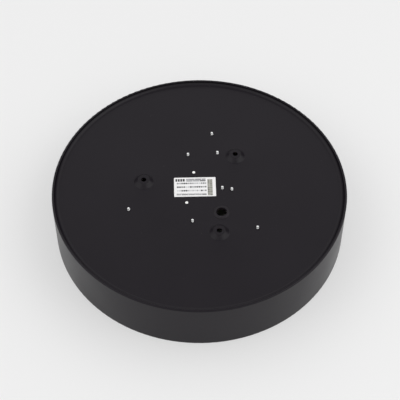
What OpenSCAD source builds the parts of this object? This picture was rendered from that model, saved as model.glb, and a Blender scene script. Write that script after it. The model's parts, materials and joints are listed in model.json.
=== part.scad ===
// Round surface-mounted ceiling light, lying face down.
// A pressed back plate carries the light source, the driver and the wiring.
// A drum shade with an opal diffuser pushes over it and hangs on three spring clips.
// Millimetres. +Z points to the ceiling, the front rim lies on z = 0.

/* [Drum shade] */
// Outside diameter of the drum
drum_d = 285; // [240:1:330]
// Height of the drum
drum_h = 55; // [48:0.5:80]
// Sheet thickness of the drum
sheet_t = 0.8; // [0.7:0.1:0.9]
// Outside rounding of the drum's two edges
edge_r = 1.3; // [1.1:0.1:1.4]
// Width of the back lip
lip_w = 2.5; // [2.5:0.1:3.2]
// Outside rounding of the back lip's inner edge, which is rolled down
lip_roll_r = 1; // [1:0.1:1.1]
// Width of the front lip that the diffuser lies on
front_lip_w = 5.5; // [4.5:0.1:9]

/* [Support ring] */
// Sheet thickness of the support ring
ring_t = 1; // [0.8:0.1:1.2]
// Height of the ring's upright, which is welded to the drum's wall
ring_h = 7; // [5:0.1:10]
// Width of the ring's shelf
shelf_w = 8; // [7.6:0.1:10]

/* [Diffuser] */
// Thickness of the diffuser
diffuser_t = 2; // [1.5:0.1:3]
// Height of the diffuser's face above the front rim
face_lift = 0.4; // [0.3:0.1:0.8]
// Overlap of the diffuser's raised edge with its face
edge_lap = 2; // [1:0.1:4]
// Radial width of the retaining ring
retainer_w = 3; // [2:0.1:5]
// Height of the retaining ring
retainer_h = 1.2; // [0.8:0.1:2]
// Opening of the split retaining ring, in degrees
retainer_split = 6; // [3:1:12]

/* [Back plate] */
// Sheet thickness of the back plate
plate_t = 0.8; // [0.7:0.1:1.2]
// Depth of the back plate below the rim
plate_recess = 4.2; // [3.6:0.1:8]
// Gap between the plate's edge and the drum's back lip
plate_gap = 0.3; // [0.3:0.05:0.6]
// Radius in which the plate's edge curls up, on the outside of the sheet
plate_bend = 5.8; // [5.6:0.1:7]
// Width of the plate's edge that curls up
plate_curl_w = 4.4; // [3.6:0.1:4.6]

/* [Ceiling screw bosses] */
// Diameter of the circle through the ceiling screw holes
boss_pcd = 110; // [108:0.5:112]
// Diameter of a boss at the plate
boss_d = 20; // [16:0.5:20]
// Diameter of the flat top of a boss
boss_top_d = 10.4; // [10:0.1:11]
// Height of a boss
boss_h = 3.4; // [2.4:0.1:3.6]
// Rounding of a boss's foot and shoulder
boss_round = 1; // [0.8:0.1:1.2]
// Diameter of a ceiling screw hole
boss_hole_d = 5; // [4:0.1:6]

/* [Cable entry] */
// Place of the cable entry along X
cable_x = -23.8; // [-25:0.1:-20]
// Place of the cable entry along Y
cable_y = -25.7; // [-30:0.1:-22]
// Bore of the grommet
cable_bore_d = 10; // [8:0.1:10.4]
// Hole in the plate for the grommet
cable_hole_d = 12.6; // [12.2:0.1:13]
// Diameter of the grommet's two flanges
grommet_d = 16; // [14.5:0.1:17]
// Thickness of the grommet's outer flange
grommet_out_t = 1.2; // [0.8:0.1:1.6]
// Thickness of the grommet's inner flange
grommet_in_t = 1.8; // [1.2:0.1:2.4]

/* [Label] */
// Width of the label
label_w = 40.5; // [36:0.5:44]
// Height of the label
label_h = 23.6; // [20:0.1:26]
// Thickness of the label
label_t = 0.15; // [0.1:0.05:0.2]
// Corner radius of the label
label_r = 0.8; // [0.5:0.1:2]
// Place of the label's middle along X
label_x = 2.2; // [2:0.1:3]
// Place of the label's middle along Y
label_y = 4.8; // [4:0.1:5]
// Turn of the label, in degrees
label_turn = -78.6; // [-80:0.1:-77]

/* [Screws] */
// Shank diameter of the tapping screws
screw_d = 2.9; // [2.6:0.1:2.9]
// Head diameter of the tapping screws
screw_head_d = 5.4; // [5:0.1:5.4]
// Head height of the tapping screws
screw_head_h = 2; // [1.6:0.1:2.2]
// Diameter of the flat on a screw head
screw_crown_d = 3.2; // [3:0.1:4]
// Length of the screw tips that stand out of the plate
tip_h = 2.2; // [1.4:0.1:2.6]
// Length of the tapered end of a screw tip
tip_taper = 0.8; // [0.4:0.1:1]
// Diameter of a screw tip's end
tip_d = 1.7; // [1.2:0.1:2.2]
// Length of the cross recess in a screw head
recess_l = 3; // [2.4:0.1:3]
// Width of the cross recess in a screw head
recess_w = 0.8; // [0.6:0.1:1]
// Depth of the cross recess in a screw head
recess_h = 1.1; // [0.8:0.1:1.2]

/* [Light source] */
// Diameter of the circle of light emitters and board screws
led_pcd = 144; // [142:0.5:150]
// Radial width of the ring-shaped board
led_board_w = 14; // [12:0.5:14]
// Thickness of the board
led_board_t = 1.6; // [1:0.1:2]
// Number of light emitters
led_count = 42; // [30:3:42]
// Length of a light emitter along the ring
led_l = 3.5; // [2.8:0.1:3.8]
// Width of a light emitter across the ring
led_w = 2.8; // [2.2:0.1:3.5]
// Height of a light emitter
led_h = 0.7; // [0.5:0.1:1]
// Angle of the tab that carries the connector
tab_angle = 150; // [148:1:152]
// Width of the connector tab
tab_w = 13; // [12:0.5:15]
// Reach of the connector tab inside the ring
tab_l = 10; // [9.5:0.1:10.5]
// Length of the connector along the radius
plug_l = 8; // [7:0.1:9]
// Width of the connector
plug_w = 9; // [8:0.1:10]
// Height of the connector
plug_h = 6; // [5:0.1:7]
// Pitch of the connector's two leads
plug_pitch = 4; // [3.6:0.1:4.4]

/* [Driver] */
// Place of the driver's middle along X
driver_x = 1; // [0.5:0.1:1.5]
// Place of the driver's middle along Y
driver_y = 9.2; // [9:0.1:11]
// Length of the driver case
driver_l = 70; // [66:0.5:71]
// Width of the driver case
driver_w = 34; // [30:0.5:35]
// Height of the driver case
driver_h = 22; // [21:0.5:26]
// Corner radius of the driver case
driver_r = 3; // [2.5:0.1:4]
// Wall of the driver cover
cover_wall = 1.6; // [1.2:0.1:2]
// Thickness of the driver base's floor and screw ears
base_floor = 2; // [1.6:0.1:2.4]
// Wall of the base's inner lip
base_lip_wall = 1.4; // [1:0.1:1.8]
// Height of the base's inner lip
base_lip_h = 6; // [4:0.1:6.5]
// Distance of a driver screw from the end of the case
ear_reach = 5; // [4.5:0.1:6]
// Distance of a driver screw from the side of the case
ear_inset = 7.5; // [7.2:0.1:9]
// Width of a screw ear
ear_w = 10; // [8:0.5:11]
// Distance between the two locating pegs
peg_pitch = 38; // [36:0.5:40]
// Diameter of a locating peg
peg_d = 2.9; // [2.3:0.1:3]
// How far a locating peg stands out of the back plate
peg_proud = 0.2; // [0.1:0.1:0.6]
// Thickness of the driver's circuit board
pcb_t = 1.6; // [1:0.1:1.8]
// Height of the circuit board above the base floor
pcb_lift = 5; // [4:0.1:5.4]
// Diameter of a circuit board post
post_d = 5; // [4.4:0.1:5.4]
// Diameter of the stake on top of a post
stake_d = 2; // [1.6:0.1:2.4]
// Inset of the posts from the edges of the circuit board
post_inset = 4.4; // [4:0.1:5]
// Height of the transformer
transformer_h = 9.5; // [8:0.1:9.8]
// Length of the transformer
transformer_l = 17; // [15:0.5:18]
// Width of the transformer
transformer_w = 15; // [13:0.5:16]
// Length of the transformer's core
core_l = 8.5; // [7:0.5:10]
// Width of the transformer's winding
winding_w = 8.6; // [7:0.1:11]
// How far the core stands out beyond the winding
winding_sink = 2.4; // [1.6:0.1:3]
// Diameter of the capacitors
capacitor_d = 9; // [7:0.1:9.4]
// Length of the capacitors
capacitor_l = 14; // [11:0.5:15]
// Gap between the transformer and a capacitor
capacitor_gap = 0.5; // [0.3:0.1:2]
// Width of a vent slot in the driver cover
vent_w = 1.6; // [1.2:0.1:2]
// Length of a vent slot in the driver cover
vent_l = 16; // [12:0.5:20]
// Pitch of the vent slots
vent_pitch = 4; // [3.2:0.1:5]
// Number of vent slots
vent_count = 7; // [4:1:8]

/* [Terminal block] */
// Place of the terminal block's middle along X
terminal_x = 5.4; // [4.5:0.1:6]
// Place of the terminal block's middle along Y
terminal_y = -26.4; // [-27.5:0.1:-26]
// Pitch of the poles, and of the two screws between them
pole_pitch = 9.4; // [9:0.1:9.6]
// Length of the block along its sleeves
terminal_l = 18; // [17:0.5:19]
// Thickness of the block below its screw towers
terminal_h = 10; // [9.5:0.1:11]
// Height of the screw towers
tower_h = 5.5; // [4.5:0.1:6]
// Diameter of the screw towers
tower_d = 7.2; // [6.4:0.1:7.4]
// Width of the block beside its outer towers
block_margin = 1; // [0.6:0.1:1.6]
// Length of the web that joins the poles and takes the fixing screws
web_l = 7; // [6:0.5:8]
// Distance between the two towers of a pole
tower_pitch = 11.2; // [10.8:0.1:11.2]
// Outside diameter of a brass sleeve
sleeve_d = 5; // [4.6:0.1:5.2]
// Bore of a brass sleeve
sleeve_bore_d = 3.4; // [3:0.1:3.6]
// How far the ends of a sleeve lie inside the block
sleeve_inset = 0.5; // [0.2:0.1:1]
// Diameter of a clamp screw
clamp_d = 3.4; // [3:0.1:3.6]
// How far a clamp screw reaches into the bore of its sleeve
clamp_reach = 0.8; // [0.4:0.1:1.2]
// Depth of a clamp screw below the tower's mouth
clamp_sink = 1.2; // [0.6:0.1:2]

/* [Earth point] */
// Place of the earth screw along X
earth_x = 48.4; // [47:0.1:49]
// Place of the earth screw along Y
earth_y = -9.7; // [-10.5:0.1:-9]
// Direction of the ring lug's barrel, in degrees
lug_turn = 225; // [215:1:235]
// Diameter of the ring lug
lug_d = 8; // [7.4:0.1:8.6]
// Sheet thickness of the ring lug
lug_t = 0.8; // [0.5:0.1:1]
// Distance from the earth screw to the lug's barrel
lug_neck = 5.5; // [5:0.1:6.5]
// Length of the lug's barrel
barrel_l = 6; // [5:0.1:7]
// Outside diameter of the lug's barrel
barrel_d = 3.8; // [3.6:0.1:4.2]
// Thickness of the lock washer
washer_t = 0.6; // [0.4:0.1:0.8]
// Diameter of the lock washer
washer_d = 6.6; // [6:0.1:7]

/* [Leads] */
// Outside diameter of the leads
lead_d = 2.2; // [1.8:0.1:2.4]
// Length of a lead inside the piece that it enters
lead_grip = 2.5; // [2:0.1:2.6]
// Distance of the nearer side entry from the end of the driver
entry_inset = 5.5; // [5:0.1:8]
// Distance between the two entries in the driver's side
entry_pitch = 4.5; // [3.6:0.1:5]
// Place of the output leads across the driver's end
output_entry = 4; // [3:0.1:5]
// How far a lead reaches past the wall of the driver
lead_poke = 0.5; // [0.2:0.1:0.6]
// Stiffness of the live lead, as the length that its ends run on before they bend
live_pull = 9; // [8:0.5:10]
// The same length on the neutral lead
neutral_pull = 13; // [12:0.5:14]
// The same length on the earth lead
earth_pull = 14; // [12:0.5:15]
// The same length on the two output leads
output_pull = 13; // [12:0.5:14]

/* [Spring clips] */
// Width of a spring clip
clip_w = 14; // [10:0.5:20]
// Strip thickness of a spring clip
clip_t = 0.6; // [0.4:0.1:0.8]
// Length of the flat that is welded to the plate
clip_base = 10; // [8:0.5:14]
// Depth of the hairpin bend below the plate
clip_depth = 19; // [16:0.5:24]
// Inside width of the hairpin
clip_span = 4; // [3:0.1:5]
// How far the clip reaches under the support ring's shelf
clip_catch = 1; // [0.6:0.1:1.6]
// Angle of the first spring clip
clip_angle = 30; // [20:1:40]

/* [Fits] */
// Radial clearance of a screw in its hole
screw_clear = 0.1; // [0.05:0.05:0.2]
// Clearance between pieces that drop into each other
fit_clear = 0.2; // [0.1:0.05:0.3]
// Gap between the back plate's edge and the shelf that it stands on
seat_gap = 0.2; // [0.1:0.05:0.3]
// Radial clearance of the diffuser in the drum
diffuser_clear = 0.4; // [0.2:0.05:0.6]
// Radial clearance of a lead in the hole that it enters
lead_clear = 0.2; // [0.1:0.05:0.3]
// Gap between the drum's wall and the ring that is welded to it
weld_gap = 0.1; // [0.05:0.05:0.2]

/* [Hidden] */
$fn = 64;
// How far a cut, or a joined shape, runs past the face that it meets
over = 0.5;
boss_angles = [90, 210, 330];
led_screw_angles = [0, 120, 240];
pole_offsets = [-1, 0, 1];
plug_out = [-cos(tab_angle), -sin(tab_angle), 0];
lead_sides = 8;
lead_rings = 14;
bend_steps = 5;

// Levels, from the ceiling side down
plate_top = drum_h - plate_recess;
plate_under = plate_top - plate_t;
shelf_top = plate_under - seat_gap;
shelf_bottom = shelf_top - ring_t;
tip_top = plate_top + tip_h;
led_face = plate_under - led_board_t;
base_under = plate_under - base_floor;
lip_bottom = base_under - base_lip_h;
pcb_under = base_under - pcb_lift - pcb_t;
cover_bottom = plate_under - driver_h;
terminal_under = plate_under - terminal_h;
tower_bottom = terminal_under - tower_h;
sleeve_z = plate_under - terminal_h / 2;
lug_under = plate_under - lug_t;
barrel_z = plate_under - barrel_d / 2;
plug_z = led_face - plug_h / 2;
entry_z = (pcb_under + cover_bottom + cover_wall) / 2;

// Radii about the drum's axis
drum_r = drum_d / 2;
wall_in_r = drum_r - sheet_t;
lip_in_r = drum_r - lip_w;
ring_out_r = wall_in_r - weld_gap;
shelf_in_r = ring_out_r - shelf_w;
plate_r = lip_in_r - plate_gap;
flat_r = plate_r - plate_curl_w;
front_r = drum_r - front_lip_w;
face_r = front_r - diffuser_clear;
diffuser_r = drum_r - edge_r - diffuser_clear;
boss_r = boss_pcd / 2;
led_r = led_pcd / 2;
led_in_r = led_r - led_board_w / 2;
led_out_r = led_r + led_board_w / 2;
tab_in_r = led_in_r - tab_l;
plug_r = tab_in_r + plug_l / 2 + fit_clear;
hole_d = screw_d + 2 * screw_clear;
lead_hole_d = lead_d + 2 * lead_clear;

// Sizes and places inside the driver
lip_l = driver_l - 2 * (cover_wall + fit_clear);
lip_w_out = driver_w - 2 * (cover_wall + fit_clear);
lip_r = driver_r - cover_wall - fit_clear;
pcb_l = lip_l - 2 * (base_lip_wall + fit_clear);
pcb_w = lip_w_out - 2 * (base_lip_wall + fit_clear);
post_x = pcb_l / 2 - post_inset;
post_y = pcb_w / 2 - post_inset;
ear_x = driver_l / 2 + ear_reach;
ear_y = driver_w / 2 - ear_inset;
near_entry = driver_l / 2 - entry_inset;
side_entries = [near_entry - entry_pitch, near_entry];
end_entries = [output_entry - plug_pitch / 2, output_entry + plug_pitch / 2];

// Terminal block sizes
terminal_w = 2 * pole_pitch + tower_d + 2 * block_margin;
pole_ys = [for (k = pole_offsets) terminal_y + k * pole_pitch];

// Shapes that several pieces share

module at_driver() {
    translate([driver_x, driver_y, 0]) children();
}

// Copies of the children at both driver screws
module at_ears() {
    for (s = [-1, 1])
        at_driver() translate([s * ear_x, s * ear_y, 0]) children();
}

// Copies of the children on a circle about the drum's axis
module at_angles(angles, radius) {
    for (a = angles)
        rotate([0, 0, a]) translate([radius, 0, 0]) children();
}

// Copies of the children at the two screws of the terminal block
module at_block_screws() {
    for (s = [-1, 1])
        translate([terminal_x, terminal_y + s * pole_pitch / 2, 0]) children();
}

// Copies of the children at the clamp screws of the terminal block
module at_towers() {
    for (y = pole_ys, s = [-1, 1])
        translate([terminal_x + s * tower_pitch / 2, y, 0]) children();
}

// Rectangle about the origin with round corners
module rounded_rect(l, w, r) {
    square([l - 2 * r, w], center = true);
    square([l, w - 2 * r], center = true);
    for (x = [-1, 1], y = [-1, 1])
        translate([x * (l / 2 - r), y * (w / 2 - r)]) circle(r);
}

// What rounding takes off the corner at the origin of a shape that lies left of it and below
module corner_cut(r) {
    difference() {
        translate([-r, -r]) square(r + over);
        translate([-r, -r]) circle(r);
    }
}

// Rectangle in the radius and height plane, from two opposite corners
module section(r1, z1, r2, z2) {
    translate([r1, z1]) square([r2 - r1, z2 - z1]);
}

// Tapping screw with its head's seat at z = seat and its tip above the back plate
module tapping_screw(seat) {
    shank_top = tip_top - tip_taper;
    difference() {
        union() {
            translate([0, 0, seat - screw_head_h / 2])
                cylinder(d = screw_head_d, h = screw_head_h / 2);
            translate([0, 0, seat - screw_head_h])
                cylinder(d1 = screw_crown_d, d2 = screw_head_d, h = screw_head_h / 2);
            translate([0, 0, seat]) cylinder(d = screw_d, h = shank_top - seat);
            translate([0, 0, shank_top]) cylinder(d1 = screw_d, d2 = tip_d, h = tip_taper);
        }
        for (a = [0, 90])
            rotate([0, 0, a]) translate([0, 0, seat - screw_head_h])
                cube([recess_l, recess_w, 2 * recess_h], center = true);
    }
}

// Points on an arc, from one angle to another
function arc(centre, r, first, last) = [for (i = [0:bend_steps])
    let (a = first + (last - first) * i / bend_steps) centre + r * [cos(a), sin(a)]];

// Points of a slope that rises from one flat to another, with both of its bends rounded
function slope_line(foot, top, r) = let (
        way = top - foot,
        side = sign(way[0]),
        straight = [abs(way[0]), way[1] - 2 * r],
        lean = atan2(straight[1], straight[0]) + asin(2 * r / norm(straight)))
    concat(arc(foot + [0, r], r, -90, -90 + side * lean),
           arc(top - [0, r], r, 90 + side * lean, 90));

// Quarter of a sheet's bend about the origin
module sheet_bend(r, t) {
    intersection() {
        difference() {
            circle(r);
            circle(r - t);
        }
        square(r);
    }
}

// Pressed boss that stands on z = 0, drawn in to its flat top on a slope
module boss_form() {
    rotate_extrude()
        polygon(concat([[0, -over], [boss_d / 2, -over]],
                       slope_line([boss_d / 2, 0], [boss_top_d / 2, boss_h], boss_round),
                       [[0, boss_h]]));
}

// Strip of even thickness along a line of points
function unit(v) = v / norm(v);
function left_of(v) = [-v[1], v[0]];
function line_normal(p, i) = let (
        a = unit(p[max(i, 1)] - p[max(i, 1) - 1]),
        b = unit(p[min(i + 1, len(p) - 1)] - p[min(i + 1, len(p) - 1) - 1]),
        m = unit(left_of(a) + left_of(b)))
    m / (m * left_of(a));

module strip(p, t) {
    left = [for (i = [0:len(p) - 1]) p[i] + t / 2 * line_normal(p, i)];
    right = [for (i = [len(p) - 1:-1:0]) p[i] - t / 2 * line_normal(p, i)];
    polygon(concat(left, right));
}

// Insulated lead between two ends, each given as a place and the direction in which it leaves
function lead_point(p, u) = let (v = 1 - u)
    v * v * v * p[0] + 3 * v * v * u * p[1] + 3 * v * u * u * p[2] + u * u * u * p[3];
function lead_path(a, a_out, b, b_out, pull) = let (
        p = [a, a + pull * a_out, b + pull * b_out, b])
    [for (i = [0:lead_rings - 1]) lead_point(p, i / (lead_rings - 1))];
function lead_ring(p, i) = let (
        t = unit(p[min(i + 1, len(p) - 1)] - p[max(i - 1, 0)]),
        n = unit(cross(t, [0, 0, 1])),
        m = cross(n, t))
    [for (k = [0:lead_sides - 1]) let (a = 360 * k / lead_sides)
        p[i] + lead_d / 2 * (cos(a) * n + sin(a) * m)];

module lead(a, a_out, b, b_out, pull) {
    p = lead_path(a, a_out, b, b_out, pull);
    n = lead_sides;
    points = [for (i = [0:lead_rings - 1]) each lead_ring(p, i)];
    sides = [for (i = [0:lead_rings - 2], k = [0:n - 1]) let (
            q = i * n + k,
            r = i * n + (k + 1) % n)
        each [[q, r, r + n], [q, r + n, q + n]]];
    last = (lead_rings - 1) * n;
    ends = [for (k = [1:n - 2]) each [[0, k + 1, k], [last, last + k, last + k + 1]]];
    polyhedron(points, concat(sides, ends), convexity = 6);
}

// Drum shade

// Rolled sheet band, bent in to a lip with a rolled edge at the back and a lip at the front
module drum_band() {
    bend_r = drum_r - edge_r;
    color("#2b2a2c")
    rotate_extrude()
    union() {
        section(wall_in_r, edge_r, drum_r, drum_h - edge_r);
        section(lip_in_r + lip_roll_r, drum_h - sheet_t, bend_r, drum_h);
        section(front_r, 0, bend_r, sheet_t);
        translate([bend_r, drum_h - edge_r]) sheet_bend(edge_r, sheet_t);
        translate([bend_r, edge_r]) mirror([0, 1]) sheet_bend(edge_r, sheet_t);
        translate([lip_in_r + lip_roll_r, drum_h - lip_roll_r])
            mirror([1, 0]) sheet_bend(lip_roll_r, sheet_t);
    }
}

// Angle ring welded inside the drum: its shelf seats the plate
module support_ring() {
    color("#2b2a2c")
    rotate_extrude()
    union() {
        section(ring_out_r - ring_t, shelf_top - ring_h, ring_out_r, shelf_top);
        section(shelf_in_r, shelf_bottom, ring_out_r, shelf_top);
    }
}

// Opal disc: the face fills the front opening, the raised edge lies on the front lip
module diffuser() {
    color("#f4f2ec")
    rotate_extrude()
    union() {
        section(0, face_lift, face_r, face_lift + diffuser_t);
        section(face_r - edge_lap, sheet_t, diffuser_r, sheet_t + diffuser_t);
    }
}

// Split flat ring that springs out against the band and keeps the diffuser down
module diffuser_retaining_ring() {
    retainer_z = sheet_t + diffuser_t;
    retainer_out_r = wall_in_r - screw_clear;
    color("#b9bcc0")
    rotate([0, 0, retainer_split / 2])
    rotate_extrude(angle = 360 - retainer_split)
        section(retainer_out_r - retainer_w, retainer_z, retainer_out_r, retainer_z + retainer_h);
}

// Chassis

// Section of the plate's sheet: its edge curls up and is cut upright
module plate_section() {
    intersection() {
        union() {
            section(0, plate_under, flat_r, plate_top);
            translate([flat_r, plate_under + plate_bend])
                mirror([0, 1]) sheet_bend(plate_bend, plate_t);
        }
        section(0, plate_under, plate_r, drum_h);
    }
}

// Pressed plate with three ceiling screw bosses and the holes for what it carries
module back_plate() {
    color("#2b2a2c")
    difference() {
        union() {
            rotate_extrude() plate_section();
            at_angles(boss_angles, boss_r) translate([0, 0, plate_top]) boss_form();
        }
        at_angles(boss_angles, boss_r) {
            translate([0, 0, plate_under]) boss_form();
            translate([0, 0, plate_under]) cylinder(d = boss_hole_d, h = plate_t + boss_h + over);
        }
        translate([0, 0, plate_under - over]) {
            at_angles(led_screw_angles, led_r) plate_hole(hole_d);
            at_ears() plate_hole(hole_d);
            at_block_screws() plate_hole(hole_d);
            translate([earth_x, earth_y, 0]) plate_hole(hole_d);
            translate([cable_x, cable_y, 0]) plate_hole(cable_hole_d);
            for (s = [-1, 1])
                at_driver() translate([s * peg_pitch / 2, 0, 0])
                    plate_hole(peg_d + 2 * screw_clear);
        }
    }
}

module plate_hole(d) {
    cylinder(d = d, h = plate_t + 2 * over);
}

// Rubber grommet that grips the edge of the cable hole between two flanges
module cable_grommet() {
    neck_r = cable_hole_d / 2 - screw_clear;
    flange_r = grommet_d / 2;
    round_r = grommet_out_t / 2;
    color("#1b1a1b")
    translate([cable_x, cable_y, 0])
    rotate_extrude()
    difference() {
        union() {
            section(cable_bore_d / 2, plate_under - grommet_in_t, neck_r, plate_top + grommet_out_t);
            section(cable_bore_d / 2, plate_top, flange_r, plate_top + grommet_out_t);
            section(cable_bore_d / 2, plate_under - grommet_in_t, flange_r, plate_under);
        }
        translate([flange_r, plate_top + grommet_out_t]) corner_cut(round_r);
        translate([flange_r, plate_under - grommet_in_t]) mirror([0, 1]) corner_cut(round_r);
    }
}

// Foil label on the back
module rating_label() {
    color("#f2f2f0")
    translate([label_x, label_y, plate_top])
    rotate([0, 0, label_turn])
    linear_extrude(label_t) rounded_rect(label_w, label_h, label_r);
}

// Hairpin clips welded under the plate: each bump reaches under the support ring's shelf
module shade_clips() {
    leg_r = shelf_in_r - clip_span - 2 * clip_catch - clip_t;
    bend_r = clip_span / 2;
    bend_z = plate_under - clip_depth + bend_r;
    bend = [for (a = [180:30:360])
        [leg_r + bend_r + bend_r * cos(a), bend_z + bend_r * sin(a)]];
    bump = [shelf_in_r + clip_catch - clip_t / 2, shelf_bottom - clip_catch - clip_t];
    tip = [shelf_in_r - 2 * clip_catch, shelf_bottom + clip_t];
    line = concat(
        [[leg_r - clip_base, plate_under - clip_t / 2], [leg_r, plate_under - clip_t / 2]],
        bend, [bump, tip]);
    color("#c3c5c8")
    at_angles([for (k = [0:2]) clip_angle + 120 * k], 0)
    rotate([90, 0, 0])
    translate([0, 0, -clip_w / 2])
    linear_extrude(clip_w) strip(line, clip_t);
}

// Light source

// Ring-shaped aluminium board with an inner tab for the connector
module led_board() {
    color("#f1f1ee")
    difference() {
        union() {
            translate([0, 0, led_face]) difference() {
                cylinder(r = led_out_r, h = led_board_t);
                translate([0, 0, -over]) cylinder(r = led_in_r, h = led_board_t + 2 * over);
            }
            rotate([0, 0, tab_angle])
            translate([tab_in_r, -tab_w / 2, led_face])
                cube([led_r - tab_in_r, tab_w, led_board_t]);
        }
        translate([0, 0, led_face - over])
            at_angles(led_screw_angles, led_r) cylinder(d = hole_d, h = led_board_t + 2 * over);
    }
}

// Light emitters in one row, with the screws half-way between two of them
module led_emitters() {
    pitch = 360 / led_count;
    color("#f3d66b")
    at_angles([for (k = [0:led_count - 1]) (k + 0.5) * pitch], led_r)
    translate([-led_w / 2, -led_l / 2, led_face - led_h]) cube([led_w, led_l, led_h]);
}

// Two-pole connector on the tab, with its two sockets towards the middle
module led_connector() {
    color("#efece2")
    rotate([0, 0, tab_angle])
    difference() {
        translate([plug_r - plug_l / 2, -plug_w / 2, led_face - plug_h])
            cube([plug_l, plug_w, plug_h]);
        for (s = [-1, 1])
            translate([plug_r - plug_l / 2 - over, s * plug_pitch / 2, plug_z])
            rotate([0, 90, 0]) cylinder(d = lead_hole_d, h = lead_grip + 2 * over);
    }
}

module led_board_screws() {
    color("#d6d8da")
    at_angles(led_screw_angles, led_r) tapping_screw(led_face);
}

// Driver

// Base with two screw ears, two locating pegs, an inner lip and four posts
module driver_base() {
    ear_l = ear_reach + over;
    color("#eceae4")
    difference() {
        union() {
            at_driver() {
                translate([0, 0, base_under])
                    linear_extrude(base_floor) rounded_rect(driver_l, driver_w, driver_r);
                translate([0, 0, lip_bottom]) linear_extrude(base_lip_h) base_lip();
                at_posts() {
                    translate([0, 0, base_under - pcb_lift]) cylinder(d = post_d, h = pcb_lift);
                    translate([0, 0, pcb_under]) cylinder(d = stake_d, h = pcb_t + over);
                }
                for (s = [-1, 1])
                    translate([s * peg_pitch / 2, 0, plate_under])
                        cylinder(d = peg_d, h = plate_t + peg_proud);
            }
            at_ears() translate([0, 0, base_under]) cylinder(d = ear_w, h = base_floor);
            for (s = [-1, 1])
                at_driver() translate([s * (ear_x - ear_l / 2), s * ear_y, base_under + base_floor / 2])
                    cube([ear_l, ear_w, base_floor], center = true);
        }
        at_ears() translate([0, 0, base_under - over])
            cylinder(d = hole_d, h = base_floor + 2 * over);
    }
}

module base_lip() {
    difference() {
        rounded_rect(lip_l, lip_w_out, lip_r);
        square([lip_l - 2 * base_lip_wall, lip_w_out - 2 * base_lip_wall], center = true);
    }
}

module at_posts() {
    for (x = [-1, 1], y = [-1, 1])
        translate([x * post_x, y * post_y, 0]) children();
}

// Cover with vent slots, two lead entries in its side and two in its end
module driver_cover() {
    height = base_under - cover_bottom;
    color("#f0eee8")
    at_driver()
    difference() {
        translate([0, 0, cover_bottom])
            linear_extrude(height) rounded_rect(driver_l, driver_w, driver_r);
        translate([0, 0, cover_bottom + cover_wall])
            linear_extrude(height) rounded_rect(
                driver_l - 2 * cover_wall, driver_w - 2 * cover_wall, driver_r - cover_wall);
        for (k = [0:vent_count - 1])
            translate([(k - (vent_count - 1) / 2) * vent_pitch, 0, cover_bottom - over])
            linear_extrude(cover_wall + 2 * over) vent_slot();
        for (x = side_entries)
            translate([x, -driver_w / 2 - over, entry_z])
            rotate([-90, 0, 0]) cylinder(d = lead_hole_d, h = cover_wall + 2 * over);
        for (y = end_entries)
            translate([-driver_l / 2 - over, y, entry_z])
            rotate([0, 90, 0]) cylinder(d = lead_hole_d, h = cover_wall + 2 * over);
    }
}

module vent_slot() {
    straight = vent_l - vent_w;
    square([vent_w, straight], center = true);
    for (s = [-1, 1])
        translate([0, s * straight / 2]) circle(d = vent_w);
}

module driver_circuit_board() {
    color("#b79b52")
    at_driver()
    difference() {
        translate([-pcb_l / 2, -pcb_w / 2, pcb_under]) cube([pcb_l, pcb_w, pcb_t]);
        at_posts() translate([0, 0, pcb_under - over])
            cylinder(d = stake_d + 2 * screw_clear, h = pcb_t + 2 * over);
    }
}

// Ferrite core around a wound bobbin
module driver_transformer() {
    color("#3a3a3d")
    at_driver()
    translate([0, 0, pcb_under - transformer_h]) {
        translate([-core_l / 2, -transformer_w / 2, 0]) cube([core_l, transformer_w, transformer_h]);
        translate([-transformer_l / 2, -winding_w / 2, winding_sink])
            cube([transformer_l, winding_w, transformer_h - winding_sink]);
    }
}

// Two electrolytic capacitors lying on the circuit board, either side of the transformer
module driver_capacitors() {
    capacitor_x = transformer_l / 2 + capacitor_gap + capacitor_d / 2;
    color("#24262c")
    at_driver()
    for (s = [-1, 1])
        translate([s * capacitor_x, 0, pcb_under - capacitor_d / 2])
        rotate([90, 0, 0])
            cylinder(d = capacitor_d, h = capacitor_l, center = true);
}

module driver_screws() {
    color("#d6d8da")
    at_ears() tapping_screw(base_under);
}

// Terminal block

// Three poles side by side, two screw towers each, with a fixing hole between neighbours
module terminal_block() {
    color("#f3f1ea")
    difference() {
        union() {
            translate([terminal_x - terminal_l / 2, terminal_y - terminal_w / 2, terminal_under])
                cube([terminal_l, terminal_w, terminal_h]);
            at_towers() translate([0, 0, tower_bottom]) cylinder(d = tower_d, h = tower_h + over);
        }
        for (y = pole_ys)
            translate([terminal_x - terminal_l / 2 - over, y, sleeve_z])
            rotate([0, 90, 0]) cylinder(d = sleeve_d + 2 * screw_clear, h = terminal_l + 2 * over);
        for (x = [-1, 1])
            at_block_screws()
            translate([x * (web_l + terminal_l) / 2, 0, terminal_under + terminal_h / 2])
                cube([terminal_l, pole_pitch - tower_d, terminal_h + 2 * over], center = true);
        at_towers() translate([0, 0, tower_bottom - over])
            cylinder(d = clamp_d + 2 * fit_clear, h = sleeve_z - tower_bottom);
        at_block_screws() translate([0, 0, terminal_under - over])
            cylinder(d = hole_d, h = terminal_h + 2 * over);
    }
}

// Brass sleeves, each with two cross holes for its clamp screws
module terminal_sleeves() {
    color("#c9a650")
    difference() {
        for (y = pole_ys)
            translate([terminal_x - terminal_l / 2 + sleeve_inset, y, sleeve_z])
            rotate([0, 90, 0]) cylinder(d = sleeve_d, h = terminal_l - 2 * sleeve_inset);
        for (y = pole_ys)
            translate([terminal_x - terminal_l / 2, y, sleeve_z])
            rotate([0, 90, 0]) cylinder(d = sleeve_bore_d, h = terminal_l);
        at_towers() translate([0, 0, sleeve_z - sleeve_d])
            cylinder(d = clamp_d + 2 * screw_clear, h = sleeve_d);
    }
}

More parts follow.
